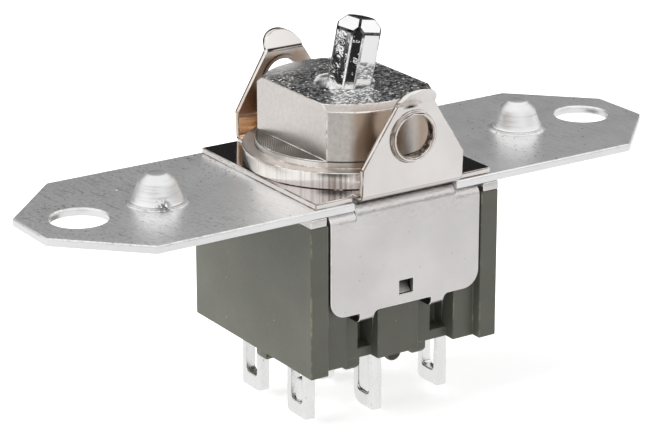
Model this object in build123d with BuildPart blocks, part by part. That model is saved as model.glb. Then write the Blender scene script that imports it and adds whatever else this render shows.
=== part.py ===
from build123d import *
import os
from math import atan, cos, degrees, hypot, radians, sin, tan

os.makedirs("parts", exist_ok=True)

# Lengths in millimetres, angles in degrees. The origin is the centre of the
# strap's top face: +X runs along the strap, +Y to the rear, +Z up the bushing.

# Mounting strap
strap_half_length = 20.77
strap_end_length = 4.45
strap_half_width = 6.40
strap_end_half_width = 1.97
strap_thickness = 0.50
mount_hole_inset = 3.12
mount_hole_diameter = 3.35
cone_inset = 8.12
cone_height = 1.73
cone_base_radius = 1.50
cone_lip_radius = 1.72
cone_lip_height = 0.13
cone_top_radius = 0.58
cone_hollow_radius = 0.80
cone_hollow_height = 1.10
key_notch_half_length = 3.50

# Frame: plate over the case with two flaps hooked round the base of the case
frame_sheet = 0.50
frame_bend_inner = 0.15
flap_side_gap = 0.12
flap_bottom_z = -6.75
flap_corner_radius = 1.05
flap_slit = 0.25
key_rise = 0.30
key_length = 0.94
key_clearance = 0.04
tab_spans = ((-3.19, -2.20), (1.81, 2.68))
tab_drop = 0.65
tab_reach = 1.15
tab_bend_inner = 0.02
tab_shoulder_radius = 0.36
lance_span = (-0.46, 0.53)
lance_height = 0.85
lance_bottom_rise = 0.60
lance_push = 0.55

# Case
case_half_x = 6.50
case_half_y = 6.40
case_height = 9.13
pilaster_width = 1.20
recess_depth = 0.65
channel_spans = ((-3.64, -1.49), (1.38, 3.87))
channel_depth = 0.75
pocket_widths = (0.87, 1.12)
pocket_floor_rise = 0.62
cavity_wall = 0.33
base_thickness = 2.03
barrier_height = 2.50
barrier_width = 0.80
rib_drop = 0.98
rib_width = 1.05
rib_half_length = 5.90
cross_rib_half_length = 4.40
rib_rounding = 0.34
foot_radius = 0.54
foot_drop = 0.62
foot_y = 5.05
foot_length = 0.36

# Rocker bracket
bracket_sheet = 0.35
bracket_half_x = 6.05
bracket_half_y = 6.20
ear_face_y = 6.60
ear_lean = 3.0
ear_half_width = 3.47
ear_offset = 0.15
ear_shoulder_z = 1.97
ear_neck_half_width = 1.28
ear_flare_z = 5.40
ear_flare_angle = 37.0
ear_tip_z = 6.42
ear_bend_radius = 0.42
ear_relief = 0.25
pivot_hole_radius = 1.25
pivot_hole_z = 3.50
collar_radius = 1.47
collar_rim_y = 7.20

# Bushing
flange_radius = 6.00
flange_height = 1.00
barrel_radius = 5.25
barrel_top_z = 5.06
barrel_chamfer = 0.37
ledge_z = 1.78
flat_half_distance = 3.70
shank_radius = 3.40
stake_radius = 3.90
stake_height = 0.25
mouth_radius = 1.70
mouth_flare_radius = 1.80
mouth_flare_depth = 0.30
lower_bore_radius = 2.30
lower_bore_top_z = 1.20

# Lever, its pin and the actuator, at rest tilted towards +X
pivot_z = 3.30
lever_tilt = 12.0
ball_radius = 1.80
ball_waist_angle = 16.0
ball_end_angle = 52.0
bar_across_flats = 2.30
bar_corner_flat = 0.66
bar_turn = 9.5
bar_length = 5.55
bar_bevel_height = 0.80
bar_bevel_inset = 0.58
shaft_radius = 1.10
spigot_radius = 0.80
spigot_length = 2.70
pin_radius = 0.50
pin_half_length = 2.30
actuator_top = 5.30
actuator_height = 3.20
actuator_half_x = 1.30
actuator_end_gap = 0.12

# Terminals in two rows of three
row_y = 2.50
terminal_pitch = 4.70
blade_thickness = 0.70
blade_width = 2.00
end_blade_drop = 3.87
common_blade_drop = 4.37
blade_corner_radius = 0.30
common_inner_radius = 0.80
blade_slot_width = 1.20
blade_slot_corner = 0.25
blade_slot_bottom = 0.90
blade_slot_top_gap = 0.27
pad_thickness = 0.50
pad_inner_x = 3.95
fixed_contact_radius = 0.70
fixed_contact_height = 0.35
saddle_half_x = 0.80

# Contactors, which rock on the common terminals
arm_slope = 8.0
arm_thickness = 0.40
arm_half_length = 5.20
arm_width = 1.80
ridge_radius = 0.35
moving_contact_radius = 0.50
moving_contact_height = 0.35
moving_contact_inset = 0.50

# Plungers and their springs
plunger_radius = 0.70
plunger_tip_radius = 0.60
plunger_pin_length = 1.30
plunger_bore_depth = 2.90
spring_wire_radius = 0.09
spring_coil_radius = 0.52
spring_turns = 2.0

# Clearances
assembly_clearance = 0.02
running_clearance = 0.05
pin_clearance = 0.03
contact_gap = 0.03
arm_end_clearance = 0.13
arm_side_clearance = 0.12
contact_side_clearance = 0.05
pad_end_clearance = 0.10
ball_stop_rise = 0.72
saddle_clearance = 0.03
saddle_drop = 0.12
plunger_gap = 0.08

# Levels and faces that follow from the sizes above
strap_shoulder_x = strap_half_length - strap_end_length
mount_hole_x = strap_half_length - mount_hole_inset
cone_x = strap_half_length - cone_inset
flap_half_width = case_half_x - pilaster_width - flap_side_gap
key_inner_y = case_half_y - key_length
arm_tip_rise = arm_half_length * tan(radians(arm_slope))
arm_depth = arm_thickness / cos(radians(arm_slope))
arm_reach = hypot(arm_half_length, arm_tip_rise + arm_depth)
fixed_contact_reach = terminal_pitch + fixed_contact_radius
moving_contact_reach = arm_half_length - moving_contact_inset
cavity_half_x = max(
    arm_reach + arm_end_clearance, fixed_contact_reach + contact_side_clearance
)
pad_outer_x = cavity_half_x - pad_end_clearance
frame_top_z = -strap_thickness
case_top_z = frame_top_z - frame_sheet
case_bottom_z = case_top_z - case_height
base_top_z = case_bottom_z + base_thickness
flange_top_z = bracket_sheet + flange_height
recess_floor_y = case_half_y - recess_depth
channel_floor_y = recess_floor_y - channel_depth
cavity_half_y = row_y + arm_width / 2 + arm_side_clearance
pocket_floor_y = cavity_half_y + cavity_wall
actuator_half_y = cavity_half_y - actuator_end_gap
tab_bottom_z = flap_bottom_z - tab_drop
channel_top_z = tab_bottom_z + frame_sheet
frame_bend_mid = frame_bend_inner + frame_sheet / 2
flap_mid_y = case_half_y - frame_sheet / 2
pad_top_z = base_top_z + pad_thickness
contactor_pivot_z = (
    pad_top_z + fixed_contact_height + contact_gap + moving_contact_height
)
valley_z = contactor_pivot_z + arm_depth
tip_reach = pivot_z - valley_z - plunger_gap
actuator_bottom = actuator_top + actuator_height
plunger_top = actuator_bottom - plunger_pin_length
bore_top = actuator_bottom - plunger_bore_depth
blade_hole_thickness = blade_thickness + 2 * assembly_clearance
blade_hole_width = blade_width + 2 * assembly_clearance

# Planes of the tilted lever and of the two sides
lever_plane = Plane(
    origin=(0, 0, pivot_z),
    x_dir=(cos(radians(lever_tilt)), 0, -sin(radians(lever_tilt))),
    z_dir=(sin(radians(lever_tilt)), 0, cos(radians(lever_tilt))),
)
sides = {"front": -1, "rear": 1}


def face_plane(side, distance):
    """Upright plane facing out of the front (-1) or rear (1), with y up."""
    return Plane(
        origin=(0, side * distance, 0), x_dir=(-side, 0, 0), z_dir=(0, side, 0)
    )


def section_plane(side, x):
    """Plane across X with its x axis pointing outwards and its y axis up."""
    return Plane(origin=(-side * x, 0, 0), x_dir=(0, side, 0), z_dir=(side, 0, 0))


def block(x_span, y_span, z_span, mode=Mode.ADD):
    """Box that fills the three spans."""
    spans = (x_span, y_span, z_span)
    centre = tuple((low + high) / 2 for low, high in spans)
    lengths = [high - low for low, high in spans]
    with Locations(centre):
        Box(*lengths, mode=mode)


def disc(plane, radius, height, mode=Mode.ADD):
    """Round pad or round hole that grows from a plane along its normal."""
    with BuildSketch(plane) as profile:
        Circle(radius)
    extrude(profile.sketch, amount=height, mode=mode)


def bent_strip(side, path, thickness, radius, x_span):
    """Sheet that follows a bent centre line in section, across a span of X."""
    with BuildSketch(section_plane(side, x_span[0])) as profile:
        with BuildLine():
            FilletPolyline(*path, radius=radius)
        trace(line_width=thickness)
    extrude(profile.sketch, amount=x_span[0] - x_span[1])


def span_rectangle(x_span, y_span, mode=Mode.ADD):
    """Rectangle that fills two spans of a sketch."""
    with Locations(((x_span[0] + x_span[1]) / 2, (y_span[0] + y_span[1]) / 2)):
        Rectangle(x_span[1] - x_span[0], y_span[1] - y_span[0], mode=mode)


# Mounting strap
def strap_outline():
    """Long eight-sided outline of the strap."""
    Polygon(
        (-strap_half_length, -strap_end_half_width),
        (-strap_shoulder_x, -strap_half_width),
        (strap_shoulder_x, -strap_half_width),
        (strap_half_length, -strap_end_half_width),
        (strap_half_length, strap_end_half_width),
        (strap_shoulder_x, strap_half_width),
        (-strap_shoulder_x, strap_half_width),
        (-strap_half_length, strap_end_half_width),
        align=None,
    )


def cone_skin(x):
    """Bullet-shaped locating cone pressed up out of the sheet at one x."""
    with BuildSketch(Plane(origin=(x, 0, 0), x_dir=(1, 0, 0), z_dir=(0, -1, 0))) as profile:
        with BuildLine():
            Polyline(
                (0, -strap_thickness / 2),
                (cone_lip_radius, -strap_thickness / 2),
                (cone_lip_radius, cone_lip_height),
                (cone_base_radius, cone_lip_height),
                (0.70 * cone_base_radius, 0.76 * cone_height),
                (cone_top_radius, cone_height),
                (0, cone_height),
                close=True,
            )
        make_face()
    revolve(profile.sketch, axis=Axis((x, 0, 0), (0, 0, 1)))


def cone_hollow(x):
    """Hollow under one cone, open at the underside of the strap."""
    hollow_height = strap_thickness + cone_hollow_height
    level = Plane(origin=(x, 0, -strap_thickness))
    disc(level, cone_hollow_radius, hollow_height, Mode.SUBTRACT)


with BuildPart() as mounting_strap:
    with BuildSketch(Plane.XY.offset(-strap_thickness)):
        strap_outline()
        with Locations((-mount_hole_x, 0), (mount_hole_x, 0)):
            Circle(mount_hole_diameter / 2, mode=Mode.SUBTRACT)
        Circle(shank_radius + assembly_clearance, mode=Mode.SUBTRACT)
        notch_length = 2 * key_notch_half_length
        for side in sides.values():
            notch = sorted((side * (key_inner_y - key_clearance), side * 2 * strap_half_width))
            span_rectangle((-notch_length / 2, notch_length / 2), notch, Mode.SUBTRACT)
    extrude(amount=strap_thickness)
    for end in (-1, 1):
        cone_skin(end * cone_x)
        cone_hollow(end * cone_x)


# Frame
def frame_plate():
    """Flat top of the frame with a corner lug beyond each slit."""
    lug_inner_x = flap_half_width + flap_slit
    with BuildSketch(Plane.XY.offset(case_top_z)) as profile:
        Rectangle(2 * case_half_x, 2 * (recess_floor_y + frame_bend_inner - 0.15))
        for end in (-1, 1):
            centre_x = end * (lug_inner_x + case_half_x) / 2
            with Locations((centre_x, 0)):
                Rectangle(case_half_x - lug_inner_x, 2 * case_half_y)
        Circle(shank_radius + assembly_clearance, mode=Mode.SUBTRACT)
    extrude(profile.sketch, amount=frame_sheet)


def flap_face(side):
    """Flat hanging part of a flap, with its window and the tabs' shoulders."""
    low_z = flap_bottom_z + lance_bottom_rise
    with BuildSketch(face_plane(side, case_half_y)) as profile:
        span_rectangle(
            (-flap_half_width, flap_half_width), (flap_bottom_z, case_top_z - 0.5)
        )
        fillet(vertices().group_by(Axis.Y)[0], radius=flap_corner_radius)
        span_rectangle(lance_span, (low_z, low_z + lance_height), Mode.SUBTRACT)
        for tab_left, tab_right in tab_spans:
            edge = tab_right + tab_shoulder_radius
            shoulder_z = flap_bottom_z - tab_shoulder_radius
            span_rectangle((tab_right - 0.1, edge), (shoulder_z, flap_bottom_z))
            with Locations((edge, shoulder_z)):
                Circle(tab_shoulder_radius, mode=Mode.SUBTRACT)
    extrude(profile.sketch, amount=-frame_sheet)


def flap_bends(side):
    """Bend from the plate into the flap, and the key raised out of it."""
    start_y = recess_floor_y - 0.25
    for rise, half_length, first_y in (
        (0, flap_half_width, start_y),
        (
            key_rise,
            key_notch_half_length - key_clearance,
            key_inner_y,
        ),
    ):
        level = frame_top_z - frame_sheet / 2 + rise
        path = ((first_y, level), (flap_mid_y, level), (flap_mid_y, case_top_z - 1.0))
        span = (-half_length, half_length)
        bent_strip(side, path, frame_sheet, frame_bend_mid, span)


def flap_tabs(side):
    """Tabs that turn inwards under the ledges of the case."""
    level = channel_top_z - frame_sheet / 2
    bend_radius = tab_bend_inner + frame_sheet / 2
    path = (
        (flap_mid_y, flap_bottom_z + 0.5),
        (flap_mid_y, level),
        (case_half_y - tab_reach, level),
    )
    for span in tab_spans:
        bent_strip(side, path, frame_sheet, bend_radius, span)


def lanced_tongue(side):
    """Tongue cut from the flap and pushed into its socket in the case."""
    foot_z = flap_bottom_z + lance_bottom_rise
    inner_y = case_half_y - frame_sheet
    with BuildSketch(section_plane(side, lance_span[0] + 0.06)) as profile:
        Polygon(
            (inner_y + 0.40, foot_z - 0.1),
            (inner_y + 0.05, foot_z - 0.1),
            (inner_y - lance_push, foot_z + lance_height - 0.12),
            (inner_y - lance_push + 0.35, foot_z + lance_height - 0.12),
            align=None,
        )
    extrude(profile.sketch, amount=lance_span[0] - lance_span[1] + 0.12)


with BuildPart() as frame:
    frame_plate()
    for side in sides.values():
        flap_face(side)
        flap_bends(side)
        flap_tabs(side)
        lanced_tongue(side)


# Case
def case_side(side):
    """Recess for a flap, with channels, pockets and a socket for the tongue."""
    recess_half_x = case_half_x - pilaster_width
    with BuildSketch(face_plane(side, recess_floor_y)) as profile:
        span_rectangle((-recess_half_x, recess_half_x), (case_bottom_z, case_top_z))
    extrude(profile.sketch, amount=recess_depth, mode=Mode.SUBTRACT)
    with BuildSketch(face_plane(side, recess_floor_y)) as profile:
        for span in channel_spans:
            span_rectangle(span, (case_bottom_z, channel_top_z))
    extrude(profile.sketch, amount=-channel_depth, mode=Mode.SUBTRACT)
    with BuildSketch(face_plane(side, channel_floor_y)) as profile:
        for (channel_left, channel_right), width in zip(channel_spans, pocket_widths):
            span = (channel_right - width, channel_right)
            span_rectangle(span, (case_bottom_z + pocket_floor_rise, channel_top_z))
    extrude(profile.sketch, amount=pocket_floor_y - channel_floor_y, mode=Mode.SUBTRACT)
    socket_low = flap_bottom_z + lance_bottom_rise - 0.1
    with BuildSketch(face_plane(side, recess_floor_y)) as profile:
        span_rectangle(lance_span, (socket_low, socket_low + lance_height + 0.15))
    extrude(profile.sketch, amount=-lance_push, mode=Mode.SUBTRACT)


def base_feet():
    """Half-round feet under the long sides of the base."""
    for side in sides.values():
        with BuildSketch(face_plane(side, foot_y - foot_length / 2)) as profile:
            with Locations((0, case_bottom_z + foot_radius - foot_drop)):
                Circle(foot_radius)
        extrude(profile.sketch, amount=foot_length)


def base_ribs():
    """Rounded insulating ribs that part the terminals under the base."""
    with BuildSketch(Plane.XY.offset(case_bottom_z - rib_drop)) as profile:
        Rectangle(2 * rib_half_length, rib_width)
        for end in (-1, 1):
            with Locations((end * terminal_pitch / 2, 0)):
                Rectangle(rib_width, 2 * cross_rib_half_length)
    extrude(profile.sketch, amount=rib_drop)
    fillet(edges().group_by(Axis.Z)[0], radius=rib_rounding)


def terminal_positions():
    """Side name, place in the row, x and y of every terminal."""
    places = (("left", -1), ("common", 0), ("right", 1))
    return [
        (side_name, place, step * terminal_pitch, side * row_y)
        for side_name, side in sides.items()
        for place, step in places
    ]


with BuildPart() as case:
    block(
        (-case_half_x, case_half_x),
        (-case_half_y, case_half_y),
        (case_bottom_z, case_top_z),
    )
    for side in sides.values():
        case_side(side)
    base_feet()
    base_ribs()
    with BuildSketch(Plane.XY.offset(base_top_z)):
        Rectangle(2 * cavity_half_x, 2 * cavity_half_y)
    extrude(amount=case_top_z - base_top_z, mode=Mode.SUBTRACT)
    block(
        (-cavity_half_x, cavity_half_x),
        (-barrier_width / 2, barrier_width / 2),
        (base_top_z, base_top_z + barrier_height),
    )
    disc(Plane.XY.offset(case_top_z), stake_radius + 0.30, -0.45, Mode.SUBTRACT)
    with BuildSketch(Plane.XY.offset(base_top_z)):
        for side_name, place, x, y in terminal_positions():
            with Locations((x, y)):
                Rectangle(blade_hole_thickness, blade_hole_width)
    extrude(amount=-base_thickness - rib_drop, mode=Mode.SUBTRACT)


# Rocker bracket
def ear_path():
    """Centre line of the bracket in section, from one ear tip to the other."""
    base_z = bracket_sheet / 2
    mid_y = ear_face_y
    flare_y = mid_y + (ear_flare_z - base_z) * tan(radians(ear_lean))
    tip_y = flare_y + (ear_tip_z - ear_flare_z + 0.2) * tan(radians(ear_flare_angle))
    half = [(mid_y, base_z), (flare_y, ear_flare_z), (tip_y, ear_tip_z + 0.2)]
    return [(-y, z) for y, z in reversed(half)] + half


def ear_outline():
    """Tapered ear with a rounded tip, over the flat base of the bracket."""
    span_rectangle((-bracket_half_x, bracket_half_x), (0, bracket_sheet))
    with Locations((ear_offset, 0)):
        Polygon(
            (-ear_half_width, 0),
            (ear_half_width, 0),
            (ear_half_width, ear_shoulder_z),
            (ear_neck_half_width, ear_flare_z),
            (-ear_neck_half_width, ear_flare_z),
            (-ear_half_width, ear_shoulder_z),
            align=None,
        )
    with Locations((ear_offset, ear_flare_z)):
        Ellipse(ear_neck_half_width, ear_tip_z - ear_flare_z)


def trim_bracket_corners():
    """Plain edges of the base beside the ears, and the bend relief notches."""
    far_y = ear_face_y + 1
    for x_end in (-1, 1):
        for y_end in (-1, 1):
            ear_edge = ear_offset + x_end * ear_half_width
            outer = sorted((ear_edge + x_end * 0.001, x_end * 9))
            edge = sorted((y_end * bracket_half_y, y_end * far_y))
            block(outer, edge, (-1, 1), Mode.SUBTRACT)
            slot = sorted((ear_edge - x_end * 0.02, ear_edge + x_end * ear_relief))
            depth = sorted((y_end * (bracket_half_y - 0.45), y_end * far_y))
            block(slot, depth, (-1, bracket_sheet + 0.02), Mode.SUBTRACT)


def collar(side):
    """Drawn collar round the pivot hole of one ear."""
    root_y = ear_face_y + bracket_sheet / 2
    with BuildSketch(face_plane(side, root_y)) as profile:
        with Locations((0, pivot_hole_z)):
            Circle(collar_radius)
    extrude(profile.sketch, amount=collar_rim_y - root_y)


with BuildPart() as rocker_bracket:
    with BuildSketch(section_plane(1, bracket_half_x)):
        with BuildLine():
            FilletPolyline(*ear_path(), radius=ear_bend_radius)
        trace(line_width=bracket_sheet)
    extrude(amount=2 * bracket_half_x)
    with BuildSketch(Plane.XZ):
        ear_outline()
    extrude(amount=9, both=True, mode=Mode.INTERSECT)
    trim_bracket_corners()
    for side in sides.values():
        collar(side)
        with BuildSketch(face_plane(side, ear_face_y - 0.5)):
            with Locations((0, pivot_hole_z)):
                Circle(pivot_hole_radius)
        extrude(amount=2, mode=Mode.SUBTRACT)
    disc(
        Plane.XY.offset(-0.1),
        shank_radius + assembly_clearance,
        bracket_sheet + 0.2,
        Mode.SUBTRACT,
    )


# Bushing
def bushing_bores():
    """Mouth, ball seat, lower bore and the two slots for the pin."""
    seat_radius = ball_radius + running_clearance
    foot_z = case_top_z - stake_height
    seat_top = pivot_z + ball_stop_rise
    disc(Plane.XY.offset(pivot_z), mouth_radius, barrel_top_z - pivot_z, Mode.SUBTRACT)
    with Locations((0, 0, barrel_top_z - mouth_flare_depth / 2)):
        Cone(mouth_radius, mouth_flare_radius, mouth_flare_depth, mode=Mode.SUBTRACT)
    disc(Plane.XY.offset(foot_z), seat_radius, seat_top - foot_z, Mode.SUBTRACT)
    lower_height = lower_bore_top_z - foot_z
    disc(Plane.XY.offset(foot_z), lower_bore_radius, lower_height, Mode.SUBTRACT)
    slot_half_x = pin_radius + pin_clearance
    slot_y = pin_half_length + 0.1
    block((-slot_half_x, slot_half_x), (-slot_y, slot_y), (foot_z, pivot_z), Mode.SUBTRACT)
    with BuildSketch(Plane.XZ) as profile:
        with Locations((0, pivot_z)):
            Circle(slot_half_x)
    extrude(profile.sketch, amount=slot_y, both=True, mode=Mode.SUBTRACT)


with BuildPart() as bushing:
    disc(Plane.XY.offset(bracket_sheet), flange_radius, flange_height)
    barrel_height = barrel_top_z - flange_top_z
    disc(Plane.XY.offset(flange_top_z), barrel_radius, barrel_height)
    chamfer(bushing.faces().sort_by(Axis.Z)[-1].edges(), length=barrel_chamfer)
    for end in (-1, 1):
        outside = sorted((end * flat_half_distance, end * (barrel_radius + 1)))
        block(outside, (-9, 9), (ledge_z, barrel_top_z + 1), Mode.SUBTRACT)
    disc(Plane.XY.offset(case_top_z), shank_radius, bracket_sheet - case_top_z)
    disc(Plane.XY.offset(case_top_z), stake_radius, -stake_height)
    bushing_bores()


# Terminals and their fixed contacts
def blade_outline(side, drop, inner_radius):
    """Terminal blade seen along X, with its eye for a wire."""
    tip_z = case_bottom_z - drop
    low_z = tip_z + blade_slot_bottom
    high_z = case_bottom_z - blade_slot_top_gap
    with BuildSketch(Plane.YZ.offset(-blade_thickness / 2)) as outline:
        span_rectangle((-blade_width / 2, blade_width / 2), (tip_z, base_top_z))
        low_corners = vertices().group_by(Axis.Y)[0].sort_by(Axis.X)
        inner, outer = low_corners if side > 0 else reversed(low_corners)
        fillet(inner, radius=inner_radius)
        fillet(outer, radius=blade_corner_radius)
        with Locations((0, (low_z + high_z) / 2)):
            RectangleRounded(
                blade_slot_width,
                high_z - low_z,
                blade_slot_corner,
                mode=Mode.SUBTRACT,
            )
    return outline.sketch


def saddle_groove():
    """Groove in the head of a common terminal, which carries a ridge."""
    with BuildSketch(Plane.XZ) as profile:
        with Locations((0, contactor_pivot_z)):
            Circle(ridge_radius + saddle_clearance)
    extrude(profile.sketch, amount=blade_width, both=True, mode=Mode.SUBTRACT)


def common_terminal(side):
    """Longer blade whose head is a grooved saddle."""
    outline = blade_outline(side, common_blade_drop, common_inner_radius)
    with BuildPart() as piece:
        extrude(outline, amount=blade_thickness)
        block(
            (-saddle_half_x, saddle_half_x),
            (-blade_width / 2, blade_width / 2),
            (base_top_z, contactor_pivot_z - saddle_drop),
        )
        saddle_groove()
    return piece.part


def end_terminal(side, end):
    """Blade with a flat pad under the fixed contact of one end."""
    outline = blade_outline(side, end_blade_drop, blade_corner_radius)
    offset_x = end * terminal_pitch
    pad = sorted((end * pad_inner_x - offset_x, end * pad_outer_x - offset_x))
    with BuildPart() as piece:
        extrude(outline, amount=blade_thickness)
        block(
            pad,
            (-blade_width / 2, blade_width / 2),
            (base_top_z, pad_top_z),
        )
    return piece.part


for side_name, place, x, y in terminal_positions():
    if place == "common":
        blank = common_terminal(sides[side_name])
    else:
        blank = end_terminal(sides[side_name], 1 if x > 0 else -1)
    with BuildPart() as terminal:
        with Locations((x, y, 0)):
            add(blank)
    node = f"terminal_{side_name}_{place}"
    terminal.part.label = node
    export_step(terminal.part, f"parts/{node}.step")
    if place != "common":
        with BuildPart() as fixed_contact:
            with Locations((x, y, pad_top_z + fixed_contact_height / 2)):
                Cylinder(fixed_contact_radius, fixed_contact_height)
        node = f"fixed_contact_{side_name}_{place}"
        fixed_contact.part.label = node
        export_step(fixed_contact.part, f"parts/{node}.step")


# Contactors with their moving contacts
def contactor_plane(side):
    """Section plane of a contactor, tipped down towards -X at rest."""
    slope = radians(arm_slope)
    return Plane(
        origin=(0, side * row_y, contactor_pivot_z),
        x_dir=(cos(slope), 0, sin(slope)),
        z_dir=(0, -1, 0),
    )


def contactor_outline():
    """Shallow V of two rising arms over the ridge they rock on."""
    top = arm_tip_rise + arm_depth
    Polygon(
        (0, 0),
        (arm_half_length, arm_tip_rise),
        (arm_half_length, top),
        (0, arm_depth),
        (-arm_half_length, top),
        (-arm_half_length, arm_tip_rise),
        align=None,
    )
    Circle(ridge_radius)


def arm_plane(side, end):
    """Plane on the underside of one arm, facing down, at its contact."""
    slope = radians(arm_slope)
    down_x = end * sin(slope)
    down_z = -cos(slope)
    local_x = end * moving_contact_reach * cos(slope)
    local_z = moving_contact_reach * sin(slope)
    body = contactor_plane(side)
    origin = body.from_local_coords(Vector(local_x, local_z, 0))
    normal = body.from_local_coords(Vector(down_x, down_z, 0)) - body.origin
    return Plane(origin=origin, x_dir=(0, 1, 0), z_dir=normal)


for side_name, side in sides.items():
    with BuildPart() as contactor:
        with BuildSketch(contactor_plane(side)):
            contactor_outline()
        extrude(amount=arm_width / 2, both=True)
    node = f"contactor_{side_name}"
    contactor.part.label = node
    export_step(contactor.part, f"parts/{node}.step")
    for place, end in (("left", -1), ("right", 1)):
        with BuildPart() as moving_contact:
            disc(arm_plane(side, end), moving_contact_radius, moving_contact_height)
        node = f"moving_contact_{side_name}_{place}"
        moving_contact.part.label = node
        export_step(moving_contact.part, f"parts/{node}.step")


# Lever and the parts that swing with it
def lever_bar():
    """Square bar with flats on its corners and four bevels at its top."""
    straight = bar_length - bar_bevel_height
    taper = degrees(atan(bar_bevel_inset / bar_bevel_height))
    for level, height, slope in ((0, straight, 0), (straight, bar_bevel_height, taper)):
        with BuildSketch(lever_plane.offset(level)) as profile:
            Rectangle(bar_across_flats, bar_across_flats, rotation=bar_turn)
        extrude(profile.sketch, amount=height, taper=slope)
    corner_reach = bar_across_flats * 2**0.5 - bar_corner_flat
    with BuildSketch(lever_plane) as profile:
        Rectangle(corner_reach, corner_reach, rotation=bar_turn + 45)
    extrude(profile.sketch, amount=bar_length, mode=Mode.INTERSECT)


def ball_blank():
    """Turned ball with a plain waist and two tapered shoulders."""
    waist = ball_radius * sin(radians(ball_waist_angle))
    end_radius = ball_radius * cos(radians(ball_end_angle))
    end_height = ball_radius * sin(radians(ball_end_angle))
    waist_radius = ball_radius * cos(radians(ball_waist_angle))
    with BuildPart() as piece:
        with BuildSketch(Plane.XZ) as profile:
            Polygon(
                (0, -end_height),
                (end_radius, -end_height),
                (waist_radius, -waist),
                (waist_radius, waist),
                (end_radius, end_height),
                (0, end_height),
                align=None,
            )
        revolve(profile.sketch, axis=Axis.Z)
    return piece.part


def plunger_blank(y):
    """Upright plunger under the origin, with a tapered tip."""
    cone_top = plunger_tip_radius - tip_reach
    with BuildPart() as piece:
        with BuildSketch(Plane.XZ) as profile:
            Polygon(
                (0, -plunger_top),
                (plunger_radius, -plunger_top),
                (plunger_radius, -actuator_bottom),
                (plunger_tip_radius, -actuator_bottom),
                (plunger_tip_radius, cone_top),
                (0, -tip_reach),
                align=None,
            )
        revolve(profile.sketch, axis=Axis.Z)
    return piece.part.moved(Location((0, y, 0)))


def coil_blank(height):
    """Coil spring that stands on the origin."""
    with BuildPart() as piece:
        with BuildLine() as coil:
            Helix(height / spring_turns, height, spring_coil_radius)
        with BuildSketch(Plane(origin=coil.line @ 0, z_dir=coil.line % 0)):
            RegularPolygon(spring_wire_radius, 3)
        sweep(path=coil.line, is_frenet=True)
    return piece.part


with BuildPart() as lever:
    lever_bar()
    with Locations(lever_plane.location):
        add(ball_blank())
    disc(lever_plane, shaft_radius, -actuator_top)
    spigot_plane = lever_plane.offset(-actuator_top)
    disc(spigot_plane, spigot_radius, -spigot_length)
    with BuildSketch(Plane.XZ):
        with Locations((0, pivot_z)):
            Circle(pin_radius + 0.005)
    extrude(amount=ball_radius + 1, both=True, mode=Mode.SUBTRACT)

with BuildPart() as pivot_pin:
    with BuildSketch(Plane.XZ):
        with Locations((0, pivot_z)):
            Circle(pin_radius)
    extrude(amount=pin_half_length, both=True)

with BuildPart() as actuator:
    with BuildSketch(lever_plane.offset(-actuator_top)):
        Rectangle(2 * actuator_half_x, 2 * actuator_half_y)
    extrude(amount=-actuator_height)
    hole_depth = spigot_length + 0.05
    disc(spigot_plane, spigot_radius + 0.005, -hole_depth, Mode.SUBTRACT)
    with BuildSketch(lever_plane.offset(-actuator_bottom)):
        with Locations((0, -row_y), (0, row_y)):
            Circle(plunger_radius + running_clearance)
    extrude(amount=plunger_bore_depth, mode=Mode.SUBTRACT)

for side_name, side in sides.items():
    with BuildPart() as plunger:
        with Locations(lever_plane.location):
            add(plunger_blank(side * row_y))
    node = f"plunger_{side_name}"
    plunger.part.label = node
    export_step(plunger.part, f"parts/{node}.step")

    spring_space = plunger_top - bore_top
    coil_height = spring_space - 2 * spring_wire_radius - 2 * assembly_clearance
    coil_base = -plunger_top + spring_wire_radius + assembly_clearance
    coil_plane = Plane(
        origin=lever_plane.from_local_coords(Vector(0, side * row_y, coil_base)),
        x_dir=lever_plane.x_dir,
        z_dir=lever_plane.z_dir,
    )
    with BuildPart() as plunger_spring:
        with Locations(coil_plane.location):
            add(coil_blank(coil_height))
    node = f"plunger_spring_{side_name}"
    plunger_spring.part.label = node
    export_step(plunger_spring.part, f"parts/{node}.step")

mounting_strap.part.label = "mounting_strap"
export_step(mounting_strap.part, "parts/mounting_strap.step")
frame.part.label = "frame"
export_step(frame.part, "parts/frame.step")
case.part.label = "case"
export_step(case.part, "parts/case.step")
rocker_bracket.part.label = "rocker_bracket"
export_step(rocker_bracket.part, "parts/rocker_bracket.step")
bushing.part.label = "bushing"
export_step(bushing.part, "parts/bushing.step")
lever.part.label = "lever"
export_step(lever.part, "parts/lever.step")
pivot_pin.part.label = "pivot_pin"
export_step(pivot_pin.part, "parts/pivot_pin.step")
actuator.part.label = "actuator"
export_step(actuator.part, "parts/actuator.step")
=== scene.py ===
import math

import bmesh
import bpy
from mathutils import Matrix, Vector, noise


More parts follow.
